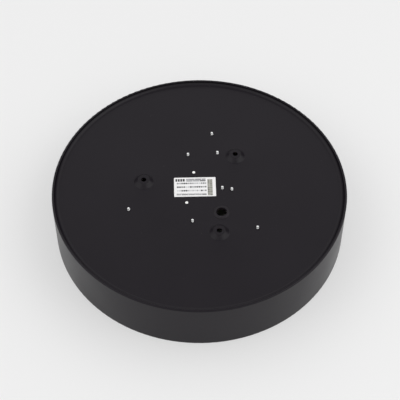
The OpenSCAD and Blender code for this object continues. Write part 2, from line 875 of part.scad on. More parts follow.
// Slotted clamp screws, sunk in the towers and reaching into the sleeves
module terminal_clamp_screws() {
    head_z = tower_bottom + clamp_sink;
    end_z = sleeve_z - sleeve_bore_d / 2 + clamp_reach;
    color("#cfd1d4")
    at_towers()
    difference() {
        translate([0, 0, head_z]) cylinder(d = clamp_d, h = end_z - head_z);
        translate([0, 0, head_z]) cube([clamp_d + over, recess_w, 2 * recess_h], center = true);
    }
}

module terminal_block_screws() {
    color("#d6d8da")
    at_block_screws() tapping_screw(terminal_under);
}

// Earth point

module earth_screw() {
    color("#d6d8da")
    translate([earth_x, earth_y, 0]) tapping_screw(lug_under - washer_t);
}

module earth_washer() {
    color("#bfc2c6")
    translate([earth_x, earth_y, lug_under - washer_t])
    difference() {
        cylinder(d = washer_d, h = washer_t);
        translate([0, 0, -over]) cylinder(d = hole_d, h = washer_t + 2 * over);
    }
}

// Ring lug with a crimped barrel
module earth_lug() {
    color("#c8cacc")
    translate([earth_x, earth_y, 0])
    rotate([0, 0, lug_turn])
    difference() {
        union() {
            translate([0, 0, lug_under]) cylinder(d = lug_d, h = lug_t);
            translate([0, -barrel_d / 2, lug_under]) cube([lug_neck + over, barrel_d, lug_t]);
            translate([lug_neck, 0, barrel_z]) rotate([0, 90, 0]) cylinder(d = barrel_d, h = barrel_l);
        }
        translate([0, 0, lug_under - over]) cylinder(d = hole_d, h = lug_t + 2 * over);
        translate([lug_neck + barrel_l - lead_grip - over, 0, barrel_z])
            rotate([0, 90, 0]) cylinder(d = lead_hole_d, h = lead_grip + 2 * over);
    }
}

// Leads

// End of a lead in the sleeve of one pole, where the insulation stops short of the clamp screw
function pole_end(k) = [
    terminal_x + tower_pitch / 2 + clamp_d / 2 + fit_clear, pole_ys[k], sleeve_z];
function side_end(k) = [
    driver_x + side_entries[k], driver_y - driver_w / 2 + cover_wall + lead_poke, entry_z];
function output_end(k) = [
    driver_x - driver_l / 2 + cover_wall + lead_poke, driver_y + end_entries[k], entry_z];
function plug_end(k) = let (
        r = plug_r - plug_l / 2 + lead_grip,
        s = (1 - 2 * k) * plug_pitch / 2)
    [r * cos(tab_angle) - s * sin(tab_angle), r * sin(tab_angle) + s * cos(tab_angle), plug_z];
function lug_end() = let (r = lug_neck + barrel_l - lead_grip)
    [earth_x + r * cos(lug_turn), earth_y + r * sin(lug_turn), barrel_z];

module live_lead() {
    color("#7a4a2a")
    lead(pole_end(2), [1, 0, 0], side_end(0), [0, -1, 0], live_pull);
}

module neutral_lead() {
    color("#2f5fae")
    lead(pole_end(1), [1, 0, 0], side_end(1), [0, -1, 0], neutral_pull);
}

module earth_lead() {
    color("#6f9a2f")
    lead(pole_end(0), [1, 0, 0], lug_end(), [cos(lug_turn), sin(lug_turn), 0], earth_pull);
}

module led_positive_lead() {
    color("#b8342c")
    lead(output_end(0), [-1, 0, 0], plug_end(0), plug_out, output_pull);
}

module led_negative_lead() {
    color("#232326")
    lead(output_end(1), [-1, 0, 0], plug_end(1), plug_out, output_pull);
}

drum_band();
support_ring();
diffuser();
diffuser_retaining_ring();
back_plate();
cable_grommet();
rating_label();
shade_clips();
led_board();
led_emitters();
led_connector();
led_board_screws();
driver_base();
driver_cover();
driver_circuit_board();
driver_transformer();
driver_capacitors();
driver_screws();
terminal_block();
terminal_sleeves();
terminal_clamp_screws();
terminal_block_screws();
earth_screw();
earth_washer();
earth_lug();
live_lead();
neutral_lead();
earth_lead();
led_positive_lead();
led_negative_lead();
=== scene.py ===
"""Looks of a round, black surface-mounted ceiling light that lies face down on a pale floor."""

import json
import math

import bmesh
import bpy
from mathutils import Matrix, Vector
from mathutils.geometry import interpolate_bezier


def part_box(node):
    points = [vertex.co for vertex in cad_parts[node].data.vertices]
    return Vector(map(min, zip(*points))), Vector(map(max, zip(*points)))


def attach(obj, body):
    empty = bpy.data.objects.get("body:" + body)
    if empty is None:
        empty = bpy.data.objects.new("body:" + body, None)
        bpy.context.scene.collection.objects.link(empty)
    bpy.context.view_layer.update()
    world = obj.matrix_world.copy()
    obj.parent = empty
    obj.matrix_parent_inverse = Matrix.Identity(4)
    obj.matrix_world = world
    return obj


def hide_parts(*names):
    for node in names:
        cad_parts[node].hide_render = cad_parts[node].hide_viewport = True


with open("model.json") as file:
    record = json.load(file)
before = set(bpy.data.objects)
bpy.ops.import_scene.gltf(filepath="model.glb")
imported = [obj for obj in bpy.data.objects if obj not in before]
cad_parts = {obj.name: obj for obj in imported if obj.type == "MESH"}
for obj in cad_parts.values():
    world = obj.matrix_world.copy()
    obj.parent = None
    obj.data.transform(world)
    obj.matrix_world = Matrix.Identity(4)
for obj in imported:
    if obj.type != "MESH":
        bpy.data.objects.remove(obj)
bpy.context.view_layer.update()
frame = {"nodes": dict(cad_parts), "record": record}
nodes = frame["nodes"]
mounts = {mount["name"]: mount for mount in frame["record"]["mounts"]}

MM = 0.001

# Sizes that the frame gives, in metres

plate_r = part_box("back_plate")[1].x
label_low, label_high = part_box("rating_label")
label_place = ((label_low + label_high) / 2).xy
plate_top = label_low.z
board_low, board_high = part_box("led_board")
plate_under = board_high.z
plate_t = plate_top - plate_under
grommet_low, grommet_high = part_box("cable_grommet")
grommet_r = (grommet_high.x - grommet_low.x) / 2
cable_place = ((grommet_low + grommet_high) / 2).xy
cable_bore_r = mounts["cable_entry"]["dims"]["r_mm"] * MM
ring_points = [v.co for v in nodes["support_ring"].data.vertices]
shelf_in_r = min(p.xy.length for p in ring_points)
shelf_edge_w = 0.1 * MM
shelf_bottom = min(p.z for p in ring_points if p.xy.length < shelf_in_r + shelf_edge_w)
boss_top = mounts["ceiling_screws"]["pos_m"][2]
boss_r = mounts["ceiling_screws"]["dims"]["pcd_mm"] / 2 * MM
boss_hole_r = mounts["ceiling_screws"]["dims"]["hole_r_mm"] * MM

# Sizes of the pieces that are made here, in metres and degrees, and their counts of sides and steps

plate_bend = 5.8 * MM
plate_curl_w = 4.4 * MM
plate_sides = 256
plate_steps = 16
boss_angles = (90, 210, 330)
boss_foot_r = 10 * MM
boss_top_r = 5.2 * MM
boss_round = 1 * MM
boss_sides = 64
boss_steps = 8
hole_sides = 32
screw_hole_r = 1.55 * MM
peg_hole_r = 1.55 * MM
cable_hole_r = 6.3 * MM
driver_place = Vector((1, 9.2)) * MM
peg_pitch = 38 * MM
label_turn = -78.6

grommet_neck_r = 6.2 * MM
grommet_round = 0.4 * MM
grommet_fall = 42
grommet_sides = 64
dome_steps = 16
round_steps = 6

SCREWS = ("led_board_screws", "driver_screws", "terminal_block_screws", "earth_screw")
screw_r = 1.45 * MM
screw_core_r = 1.15 * MM
screw_pitch = 1.06 * MM
screw_sides = 20
rings_per_turn = 10
ridge_half_share = 0.3
thread_sharp = 50
head_r = 2.7 * MM
head_h = 2 * MM
head_edge = 0.15 * MM
head_rim_h = 0.5 * MM
head_crown_r = 1.6 * MM
head_steps = 8
recess_depth = 1.1 * MM
recess_reach = 1.4 * MM
recess_half_w = 0.35 * MM
recess_floor_share = 0.7
tip_taper = 1.2 * MM
tip_share = 0.88
tip_dome_h = 0.25 * MM
tip_flat_h = 0.05 * MM
# Loops of the dome on a tip: the share of its width and of its height at which each lies
tip_loops = ((0.95, 0.8), (0.82, 0.99))

emitter_count = 42
emitter_l = 3.5 * MM
emitter_w = 2.8 * MM
emitter_h = 0.7 * MM
cup_wall = 0.35 * MM
cup_depth = 0.18 * MM
lens_edge_h = 0.02 * MM
lens_crown_h = 0.12 * MM
lens_crown_share = 0.6
lens_sharp = 60

lead_r = 1.1 * MM
lead_sides = 16
lead_steps = 40
stripe_sides = 3

clip_w = 14 * MM
clip_t = 0.6 * MM
clip_base = 10 * MM
clip_depth = 19 * MM
clip_span = 4 * MM
clip_catch = 1 * MM
clip_fillet = 1.2 * MM
clip_knee = 0.8 * MM
clip_bend_steps = 16
crest_shares = (0, 0.25, 0.5, 0.75, 1)
clip_angles = (30, 150, 270)

# How close vertices are to count as one, and how far faces turn at an edge that is flat or sharp

weld = 0.001 * MM
flat_turn = 0.5
sharp_turn = 35


# Small tools


def srgb(code):
    """Linear colour of an sRGB hex value."""
    parts = [int(code[i:i + 2], 16) / 255 for i in (1, 3, 5)]
    return tuple(p / 12.92 if p <= 0.04045 else ((p + 0.055) / 1.055) ** 2.4 for p in parts) + (1,)


def per_mm(size):
    """Scale of a pattern whose features are that many millimetres wide."""
    return 1 / (size * MM)


def material(name):
    """A material with an empty node tree."""
    made = bpy.data.materials.new(name)
    made.use_nodes = True
    made.node_tree.nodes.clear()
    return made, made.node_tree


def add(tree, kind, sockets=None, out=0, **settings):
    """Adds a node with its settings, its sockets' values or links, and returns one of its outputs."""
    made = tree.nodes.new(kind)
    for name, value in settings.items():
        setattr(made, name, value)
    for name, value in (sockets or {}).items():
        if isinstance(value, bpy.types.NodeSocket):
            tree.links.new(value, made.inputs[name])
        else:
            made.inputs[name].default_value = value
    return made.outputs[out] if made.outputs else None


def finish_mesh(bm, name, sharp=sharp_turn):
    """Turns a bmesh into a smooth-shaded mesh with hard edges where it turns sharply."""
    mesh = bpy.data.meshes.new(name)
    bmesh.ops.recalc_face_normals(bm, faces=bm.faces)
    bm.to_mesh(mesh)
    bm.free()
    if "custom_normal" in mesh.attributes:
        mesh.attributes.remove(mesh.attributes["custom_normal"])
    mesh.shade_smooth()
    mesh.set_sharp_from_angle(angle=math.radians(sharp))
    return mesh


def piece(name, mesh, finish, body, slot, *stands_for):
    """Puts a mesh into the scene as a piece that rides on a body and stands for CAD nodes."""
    made = bpy.data.objects.new(name, mesh)
    bpy.context.scene.collection.objects.link(made)
    mesh.materials.clear()
    mesh.materials.append(finish)
    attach(made, body)
    if stands_for:
        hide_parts(*stands_for)
    return made


def dress(finish, *names):
    """Gives CAD nodes, whose shape is right, their material."""
    for name in names:
        nodes[name].data.materials.clear()
        nodes[name].data.materials.append(finish)


def softened(node, finish, body, slot, width, segments=3):
    """A copy of a CAD node with its sharp edges rounded, which stands for the node."""
    bm = bmesh.new()
    bm.from_mesh(nodes[node].data)
    bmesh.ops.remove_doubles(bm, verts=bm.verts, dist=weld)
    bmesh.ops.dissolve_limit(bm, angle_limit=math.radians(flat_turn), verts=bm.verts, edges=bm.edges)
    sharp = [e for e in bm.edges if e.is_manifold and e.calc_face_angle() > math.radians(sharp_turn)]
    bmesh.ops.bevel(bm, geom=sharp, offset=width, segments=segments, profile=0.5,
                    affect="EDGES", clamp_overlap=True)
    return piece(node + "_rounded", finish_mesh(bm, node + "_rounded"), finish, body, slot, node)


def loop_of(bm, centre, radius, height, count):
    """A closed loop of vertices on a circle."""
    turns = [2 * math.pi * k / count for k in range(count)]
    return [bm.verts.new((centre[0] + radius * math.cos(a), centre[1] + radius * math.sin(a), height))
            for a in turns]


def skin_between(bm, first, second):
    """Quads between two loops of as many vertices."""
    for k in range(len(first)):
        n = (k + 1) % len(first)
        bm.faces.new((first[k], first[n], second[n], second[k]))


def skin_along(bm, loops):
    """Quads between each loop and the next."""
    for first, second in zip(loops, loops[1:]):
        skin_between(bm, first, second)


def turned(bm, centre, profile, count):
    """Skin of a turned shape along a profile of radii and heights. Gives its first and last loop."""
    loops = [loop_of(bm, centre, r, z, count) for r, z in profile]
    skin_along(bm, loops)
    return loops[0], loops[-1]


def loop_edges(bm, loop):
    """The edges of a closed loop, made where they don't exist."""
    pairs = zip(loop, loop[1:] + loop[:1])
    return [bm.edges.get(pair) or bm.edges.new(pair) for pair in pairs]


def heading_at(path, i):
    """Direction of a path at one of its points."""
    return (path[min(i + 1, len(path) - 1)] - path[max(i - 1, 0)]).normalized()


def polar(radius, degrees):
    """Point on a circle about the drum's axis."""
    return Vector((radius * math.cos(math.radians(degrees)), radius * math.sin(math.radians(degrees))))


def arc(centre_r, centre_z, radius, first, last, steps):
    """Profile points on an arc, from one angle to another."""
    turns = [math.radians(first + (last - first) * k / steps) for k in range(steps + 1)]
    return [(centre_r + radius * math.cos(a), centre_z + radius * math.sin(a)) for a in turns]


def screw_places(node):
    """Places of a CAD node's screws, from the flat ends of their tips."""
    flat_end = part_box(node)[1].z - tip_flat_h
    tips = []
    for v in nodes[node].data.vertices:
        if v.co.z < flat_end:
            continue
        for tip in tips:
            if (tip[0] - v.co.xy).length < 2 * screw_r:
                tip.append(v.co.xy)
                break
        else:
            tips.append([v.co.xy])
    return [Vector([(min(axis) + max(axis)) / 2 for axis in zip(*tip)]) for tip in tips]


# Materials

# Sockets of a node that mixes two colours, and the span in which most of a noise lies

FACTOR, FIRST, SECOND, MIXED = 0, 6, 7, 2
NOISE_LOW, NOISE_HIGH = 0.3, 0.7

# The emitters lie on one ring with the screws of their board

led_r = screw_places("led_board_screws")[0].length


def black_powder_coat():
    """Polyester powder baked on steel: dull black, a fine orange peel and a wide, soft highlight.

    The grit and the few specks of dust are drawn coarser than real ones, which would not show.
    """
    speck_from, speck_to, speck_share = 0.74, 0.8, 0.12
    made, tree = material("black_powder_coat")
    place = add(tree, "ShaderNodeTexCoord", out="Object")
    grit = add(tree, "ShaderNodeTexNoise", {"Vector": place, "Scale": per_mm(0.7), "Detail": 3})
    peel = add(tree, "ShaderNodeTexNoise", {"Vector": place, "Scale": per_mm(3), "Detail": 1})
    haze = add(tree, "ShaderNodeTexNoise", {"Vector": place, "Scale": per_mm(55), "Detail": 5})
    speck = add(tree, "ShaderNodeTexNoise", {"Vector": place, "Scale": per_mm(2.4), "Detail": 2})
    dust = add(tree, "ShaderNodeMapRange",
               {"Value": speck, "From Min": speck_from, "From Max": speck_to,
                "To Min": 0, "To Max": speck_share})
    coat = add(tree, "ShaderNodeMix", {FACTOR: haze, FIRST: srgb("#141016"), SECOND: srgb("#19151b")},
               out=MIXED, data_type="RGBA")
    colour = add(tree, "ShaderNodeMix", {FACTOR: dust, FIRST: coat, SECOND: srgb("#8a8783")},
                 out=MIXED, data_type="RGBA")
    rough = add(tree, "ShaderNodeMapRange",
                {"Value": haze, "From Min": NOISE_LOW, "From Max": NOISE_HIGH,
                 "To Min": 0.29, "To Max": 0.37})
    fine = add(tree, "ShaderNodeBump", {"Height": grit, "Distance": 0.02 * MM})
    normal = add(tree, "ShaderNodeBump", {"Height": peel, "Distance": 0.03 * MM, "Normal": fine})
    shader = add(tree, "ShaderNodeBsdfPrincipled",
                 {"Base Color": colour, "Roughness": rough, "Normal": normal,
                  "Specular IOR Level": 0.19})
    add(tree, "ShaderNodeOutputMaterial", {"Surface": shader})
    return made


def printed_label_foil():
    """White polyester foil with a dull gloss, printed with rows of dark blocks, bars and a grey field.

    Its grain is drawn coarser than the real one, which would not show.
    """
    foil = "#f1f0f1"
    made, tree = material("printed_label_foil")
    place = add(tree, "ShaderNodeTexCoord", out="Object")
    on_label = add(tree, "ShaderNodeMapping",
                   {"Vector": place, "Location": (*label_place, plate_top),
                    "Rotation": (0, 0, math.radians(label_turn)), "Scale": (MM, MM, MM)},
                   vector_type="TEXTURE")
    across = add(tree, "ShaderNodeSeparateXYZ", {0: on_label}, out="X")
    along = add(tree, "ShaderNodeSeparateXYZ", {0: on_label}, out="Y")

    def field(middle_x, half_x, middle_y, half_y):
        """One inside a rectangle of the label, in millimetres from its middle."""
        in_x = add(tree, "ShaderNodeMath", {0: across, 1: middle_x, 2: half_x}, operation="COMPARE")
        in_y = add(tree, "ShaderNodeMath", {0: along, 1: middle_y, 2: half_y}, operation="COMPARE")
        return add(tree, "ShaderNodeMath", {0: in_x, 1: in_y}, operation="MULTIPLY")

    def blocks(dark, light, between, width, height, gap, start, offset):
        """Rows of blocks with gaps between them, in millimetres, that start below the middle."""
        from_start = add(tree, "ShaderNodeVectorMath", {0: on_label, 1: (0, start, 0)})
        return add(tree, "ShaderNodeTexBrick",
                   {"Vector": from_start, "Color1": srgb(dark), "Color2": srgb(light),
                    "Mortar": srgb(between), "Scale": 1, "Mortar Size": gap, "Mortar Smooth": 0.2,
                    "Brick Width": width, "Row Height": height}, offset=offset, squash=1)

    rows = blocks("#020203", "#cfcfd1", foil, width=2.1, height=2.25, gap=0.22, start=1.12, offset=0.4)
    heading = blocks("#060607", "#2a2a2d", foil, width=2.4, height=3.8, gap=0.33, start=1, offset=0)
    bars = blocks("#5c5c5f", "#929295", foil, width=6.6, height=1.9, gap=0.2, start=1, offset=0.3)
    grey = blocks("#97968d", "#6a6962", "#b4b3ac", width=4.8, height=2.3, gap=0.25, start=0, offset=0)
    # Where each is printed: middle and half size across the label, then middle and half size along it
    main_column, heading_line = (-3.4, 14.5), (8.5, 1.9)
    prints = [((*main_column, middle, 1.3), rows) for middle in (4.5, 0, -4.5)]
    prints += [((-14, 4.8, *heading_line), heading), ((1.1, 9.4, *heading_line), bars),
               ((*main_column, -9, 1), bars), ((14.7, 2.4, -0.6, 10), grey)]
    shade = add(tree, "ShaderNodeTexNoise", {"Vector": place, "Scale": per_mm(9), "Detail": 3})
    colour = add(tree, "ShaderNodeMix", {FACTOR: shade, FIRST: srgb(foil), SECOND: srgb("#e6e4e4")},
                 out=MIXED, data_type="RGBA")
    for area, ink in prints:
        colour = add(tree, "ShaderNodeMix", {FACTOR: field(*area), FIRST: colour, SECOND: ink},
                     out=MIXED, data_type="RGBA")
    grain = add(tree, "ShaderNodeTexNoise", {"Vector": place, "Scale": per_mm(0.8), "Detail": 2})
    normal = add(tree, "ShaderNodeBump", {"Height": grain, "Distance": 0.006 * MM})
    shader = add(tree, "ShaderNodeBsdfPrincipled",
                 {"Base Color": colour, "Roughness": 0.42, "Normal": normal, "IOR": 1.57})
    add(tree, "ShaderNodeOutputMaterial", {"Surface": shader})
    return made


def plated_metal(name, light, dark, grain, rough_low, rough_high):
    """Bright metal skin: two close tones in patches, a fine grain and uneven gloss.

    Its grain is drawn coarser than the real one, which would not show.
    """
    patch_size = 6 * grain
    made, tree = material(name)
    place = add(tree, "ShaderNodeTexCoord", out="Object")
    patch = add(tree, "ShaderNodeTexNoise",
                {"Vector": place, "Scale": per_mm(patch_size), "Detail": 4})
    colour = add(tree, "ShaderNodeMix", {FACTOR: patch, FIRST: srgb(light), SECOND: srgb(dark)},
                 out=MIXED, data_type="RGBA")
    fine = add(tree, "ShaderNodeTexNoise", {"Vector": place, "Scale": per_mm(grain), "Detail": 3})
    rough = add(tree, "ShaderNodeMapRange",
                {"Value": fine, "From Min": NOISE_LOW, "From Max": NOISE_HIGH,
                 "To Min": rough_low, "To Max": rough_high})
    normal = add(tree, "ShaderNodeBump", {"Height": fine, "Distance": 0.01 * MM})
    shader = add(tree, "ShaderNodeBsdfPrincipled",
                 {"Base Color": colour, "Metallic": 1, "Roughness": rough, "Normal": normal})
    add(tree, "ShaderNodeOutputMaterial", {"Surface": shader})
    return made


def moulded_plastic(name, light, dark, grain, depth, rough, glow=0, shine=0.5):
    """Moulded plastic: a spark-eroded mould's grain, faint flow clouds and an even, dull gloss.

    Its grain is drawn coarser than the real one, which would not show.
    """
    uneven = 0.06
    made, tree = material(name)
    place = add(tree, "ShaderNodeTexCoord", out="Object")
    flow = add(tree, "ShaderNodeTexNoise",
               {"Vector": place, "Scale": per_mm(18), "Detail": 4, "Distortion": 0.6})
    colour = add(tree, "ShaderNodeMix", {FACTOR: flow, FIRST: srgb(light), SECOND: srgb(dark)},
                 out=MIXED, data_type="RGBA")
    skin = add(tree, "ShaderNodeTexNoise", {"Vector": place, "Scale": per_mm(grain), "Detail": 3})
    gloss = add(tree, "ShaderNodeMapRange",
                {"Value": skin, "From Min": NOISE_LOW, "From Max": NOISE_HIGH,
                 "To Min": rough - uneven, "To Max": rough + uneven})
    normal = add(tree, "ShaderNodeBump", {"Height": skin, "Distance": depth})
    shader = add(tree, "ShaderNodeBsdfPrincipled",
                 {"Base Color": colour, "Roughness": gloss, "Normal": normal, "IOR": 1.53,
                  "Specular IOR Level": shine, "Subsurface Weight": glow,
                  "Subsurface Radius": (1, 1, 1), "Subsurface Scale": 1.5 * MM})
    add(tree, "ShaderNodeOutputMaterial", {"Surface": shader})
    return made


def vinyl(name, light, dark):
    """Extruded vinyl insulation: an even colour with a faint grain and a soft gloss."""
    return moulded_plastic(name, light, dark, grain=0.9, depth=0.012 * MM, rough=0.33)


def white_solder_mask():
    """White solder mask on an aluminium board: the copper tracks under it show as low ridges."""
    track_off, track_half_w = 3.4 * MM, 1.3 * MM
    made, tree = material("white_solder_mask")
    place = add(tree, "ShaderNodeTexCoord", out="Object")
    flat = add(tree, "ShaderNodeVectorMath", {0: place, 1: (1, 1, 0)}, operation="MULTIPLY")
    radius = add(tree, "ShaderNodeVectorMath", {0: flat}, out="Value", operation="LENGTH")
    off_ring = add(tree, "ShaderNodeMath", {0: radius, 1: led_r}, operation="SUBTRACT")
    distance = add(tree, "ShaderNodeMath", {0: off_ring}, operation="ABSOLUTE")
    track = add(tree, "ShaderNodeMath", {0: distance, 1: track_off, 2: track_half_w},
                operation="COMPARE")
    mottle = add(tree, "ShaderNodeTexNoise", {"Vector": place, "Scale": per_mm(5), "Detail": 4})
    mask = add(tree, "ShaderNodeMix", {FACTOR: mottle, FIRST: srgb("#f0efea"), SECOND: srgb("#e6e4dc")},
               out=MIXED, data_type="RGBA")
    colour = add(tree, "ShaderNodeMix", {FACTOR: track, FIRST: mask, SECOND: srgb("#f6f5f1")},
                 out=MIXED, data_type="RGBA")
    normal = add(tree, "ShaderNodeBump", {"Height": track, "Distance": 0.05 * MM})
    shader = add(tree, "ShaderNodeBsdfPrincipled",
                 {"Base Color": colour, "Roughness": 0.34, "Normal": normal, "IOR": 1.52})
    add(tree, "ShaderNodeOutputMaterial", {"Surface": shader})
    return made


def rolled_spring_steel():
    """Cold-rolled spring strip: grey steel with streaks up and down it and an oily gloss.

    The streaks are drawn coarser than real ones, which would not show.
    """
    stretch = 0.06
    made, tree = material("rolled_spring_steel")
    place = add(tree, "ShaderNodeTexCoord", out="Object")
    drawn = add(tree, "ShaderNodeMapping", {"Vector": place, "Scale": (1, 1, stretch)})
    streak = add(tree, "ShaderNodeTexNoise", {"Vector": drawn, "Scale": per_mm(0.5), "Detail": 3})
    colour = add(tree, "ShaderNodeMix", {FACTOR: streak, FIRST: srgb("#b3b7bb"), SECOND: srgb("#8d9196")},
                 out=MIXED, data_type="RGBA")
    rough = add(tree, "ShaderNodeMapRange",
                {"Value": streak, "From Min": NOISE_LOW, "From Max": NOISE_HIGH,
                 "To Min": 0.24, "To Max": 0.4})
    normal = add(tree, "ShaderNodeBump", {"Height": streak, "Distance": 0.01 * MM})
    shader = add(tree, "ShaderNodeBsdfPrincipled",
                 {"Base Color": colour, "Metallic": 1, "Roughness": rough, "Normal": normal})
    add(tree, "ShaderNodeOutputMaterial", {"Surface": shader})
    return made


POWDER = black_powder_coat()
FOIL = printed_label_foil()
MASK = white_solder_mask()
SPRING = rolled_spring_steel()
# Zinc plated steel, dipped bright: almost white, with small, sharp glints
ZINC = plated_metal("bright_zinc_plate", "#fafafa", "#eeefef",
                    grain=0.35, rough_low=0.22, rough_high=0.4)
# Brass bar, turned: yellow metal with a tight gloss
BRASS = plated_metal("turned_brass", "#d9bb6c", "#c29f4d",
                     grain=0.3, rough_low=0.18, rough_high=0.32)
# Copper dipped in tin: grey white and duller than zinc
TIN = plated_metal("tinned_copper", "#d2d2d0", "#b4b3b0",
                   grain=0.4, rough_low=0.28, rough_high=0.45)
# Moulded rubber: dull black, with hardly a highlight
RUBBER = moulded_plastic("moulded_rubber", "#1f1b20", "#1a161b",
                         grain=1.1, depth=0.03 * MM, rough=0.55, shine=0.22)
# Cast opal acrylic: white through and through, a satin face and light that spreads below it
OPAL = moulded_plastic("opal_acrylic", "#f3f1ec", "#ebe9e3",
                       grain=1.2, depth=0.008 * MM, rough=0.3, glow=0.35)
# Resin of an emitter's cup: an even, matte white
CUP = moulded_plastic("emitter_cup_resin", "#f2f1ec", "#e8e6df",
                      grain=0.4, depth=0.005 * MM, rough=0.4)
# Resin filled with phosphor: deep yellow and glossy, with light that spreads in it
PHOSPHOR = moulded_plastic("phosphor_resin", "#f0cf4a", "#e3b92f",
                           grain=0.5, depth=0.01 * MM, rough=0.28, glow=0.2)
# Moulded nylon: a warm, slightly milky white
NYLON = moulded_plastic("moulded_nylon", "#efece3", "#e6e2d5",
                        grain=0.7, depth=0.02 * MM, rough=0.46, glow=0.08)
# Moulded polycarbonate: a clean white with a dull gloss
POLYCARBONATE = moulded_plastic("moulded_polycarbonate", "#f8f8f6", "#f0efec",
                                grain=0.8, depth=0.025 * MM, rough=0.44)
# Paper soaked in phenolic resin and pressed: plain brown board
LAMINATE = moulded_plastic("phenolic_laminate", "#b99052", "#a27a3f",
                           grain=0.6, depth=0.015 * MM, rough=0.4)
# Sintered ferrite: dark grey and dull, like slate
FERRITE = moulded_plastic("sintered_ferrite", "#3a3a3d", "#2c2c2f",
                          grain=0.5, depth=0.03 * MM, rough=0.55)
# Sleeve shrunk on to a can: near black, smooth and glossy
SLEEVE = moulded_plastic("shrink_sleeve", "#25272d", "#1c1e24",
                         grain=1.5, depth=0.01 * MM, rough=0.22)


# Drum shade

dress(POWDER, "drum_band", "support_ring")
dress(OPAL, "diffuser")
softened("diffuser_retaining_ring", SPRING, "shade", "spring_steel", width=0.15 * MM)


# Back plate


def slope(foot, top, radius, steps):
    """Profile of a slope that rises inwards between two flats, with both of its bends rounded."""
    run = foot[0] - top[0]
    rise = top[1] - foot[1] - 2 * radius
    lean = math.degrees(math.atan2(rise, run) + math.asin(2 * radius / math.hypot(run, rise)))
    return (arc(foot[0], foot[1] + radius, radius, -90, -90 - lean, steps)
            + arc(top[0], top[1] - radius, radius, 90 - lean, 90, steps))


def boss_profile(level):
    """Section of a pressed boss on a level, from its foot over its slope to its screw hole."""
    top = level + boss_top - plate_top
    return slope((boss_foot_r, level), (boss_top_r, top), boss_round, boss_steps) + [(boss_hole_r, top)]


def edge_profile():
    """Section of the plate's edge, from the flat over the edge that curls up to the underside."""
    bend = (plate_r - plate_curl_w, plate_under + plate_bend)
    inside = plate_bend - plate_t
    inner_end, outer_end = (math.degrees(math.asin(plate_curl_w / r)) - 90 for r in (inside, plate_bend))
    return (arc(*bend, inside, -90, inner_end, plate_steps)
            + arc(*bend, plate_bend, outer_end, -90, plate_steps))


def plate_holes():
    """Places and radii of the round holes in the plate's flat."""
    tips = [place for node in SCREWS for place in screw_places(node)]
    pegs = [driver_place + Vector((side * peg_pitch / 2, 0)) for side in (-1, 1)]
    return ([(place, screw_hole_r) for place in tips] + [(place, peg_hole_r) for place in pegs]
            + [(cable_place, cable_hole_r)])


def plate_face(bm, level, rim):
    """One face of the plate's sheet inside its rim, with the bosses. Gives the loops of its holes."""
    bosses = [turned(bm, polar(boss_r, angle), boss_profile(level), boss_sides) for angle in boss_angles]
    holes = [loop_of(bm, place, radius, level, hole_sides) for place, radius in plate_holes()]
    bounds = [rim] + [foot for foot, hole in bosses] + holes
    edges = [edge for loop in bounds for edge in loop_edges(bm, loop)]
    bmesh.ops.triangle_fill(bm, use_beauty=True, edges=edges, normal=(0, 0, 1))
    return [hole for foot, hole in bosses] + holes


def pressed_plate():
    """Sheet steel plate with its edge curled up, three bosses and its holes."""
    bm = bmesh.new()
    rims = turned(bm, (0, 0), edge_profile(), plate_sides)
    faces = [plate_face(bm, level, rim) for level, rim in zip((plate_top, plate_under), rims)]
    for top, under in zip(*faces):
        skin_between(bm, top, under)
    piece("pressed_back_plate", finish_mesh(bm, "pressed_back_plate"), POWDER, "chassis",
          "black_powder_coat", "back_plate")


def rubber_grommet():
    """Grommet whose outer flange falls off to its edge in a soft dome, as moulded rubber does."""
    crown_r = cable_bore_r + grommet_round
    dome = (grommet_r - crown_r) / math.sin(math.radians(grommet_fall))
    foot = grommet_low.z + grommet_round
    profile = (arc(crown_r, grommet_high.z - grommet_round, grommet_round, 180, 90, round_steps)
               + arc(crown_r, grommet_high.z - dome, dome, 90, 90 - grommet_fall, dome_steps)
               + [(grommet_r, plate_top), (grommet_neck_r, plate_top),
                  (grommet_neck_r, plate_under), (grommet_r, plate_under)]
               + arc(grommet_r - grommet_round, foot, grommet_round, 0, -90, round_steps)
               + arc(crown_r, foot, grommet_round, -90, -180, round_steps))
    bm = bmesh.new()
    skin_between(bm, *reversed(turned(bm, cable_place, profile, grommet_sides)))
    bmesh.ops.remove_doubles(bm, verts=bm.verts, dist=weld)
    piece("soft_cable_grommet", finish_mesh(bm, "soft_cable_grommet"), RUBBER, "chassis",
          "black_rubber", "cable_grommet")


pressed_plate()
rubber_grommet()
dress(FOIL, "rating_label")


# Screws


def cross_recess(bm, place, height):
    """Loop of a cross recess and its walls and floor, sunk upwards into a screw head."""
    corners = [(recess_reach, recess_half_w), (recess_half_w, recess_half_w),
               (recess_half_w, recess_reach)]
    outline = []
    for quarter in range(4):
        turn = Matrix.Rotation(quarter * math.pi / 2, 2)
        outline += [turn @ Vector(corner) for corner in corners]
    mouth = [bm.verts.new((*(place + p), height)) for p in outline]
    floor = [bm.verts.new((*(place + recess_floor_share * p), height + recess_depth)) for p in outline]
    skin_between(bm, mouth, floor)
    bm.faces.new(floor)
    return mouth


def pan_head(seat):
    """Profile of a pan head, from the shank over its rim and rounded side to its flat crown."""
    profile = [(screw_core_r, seat), (head_r - head_edge, seat), (head_r, seat - head_edge)]
    for k in range(head_steps + 1):
        turn = math.pi / 2 * k / head_steps
        profile.append((head_crown_r + (head_r - head_crown_r) * math.cos(turn),
                        seat - head_rim_h - (head_h - head_rim_h) * math.sin(turn)))
    return profile


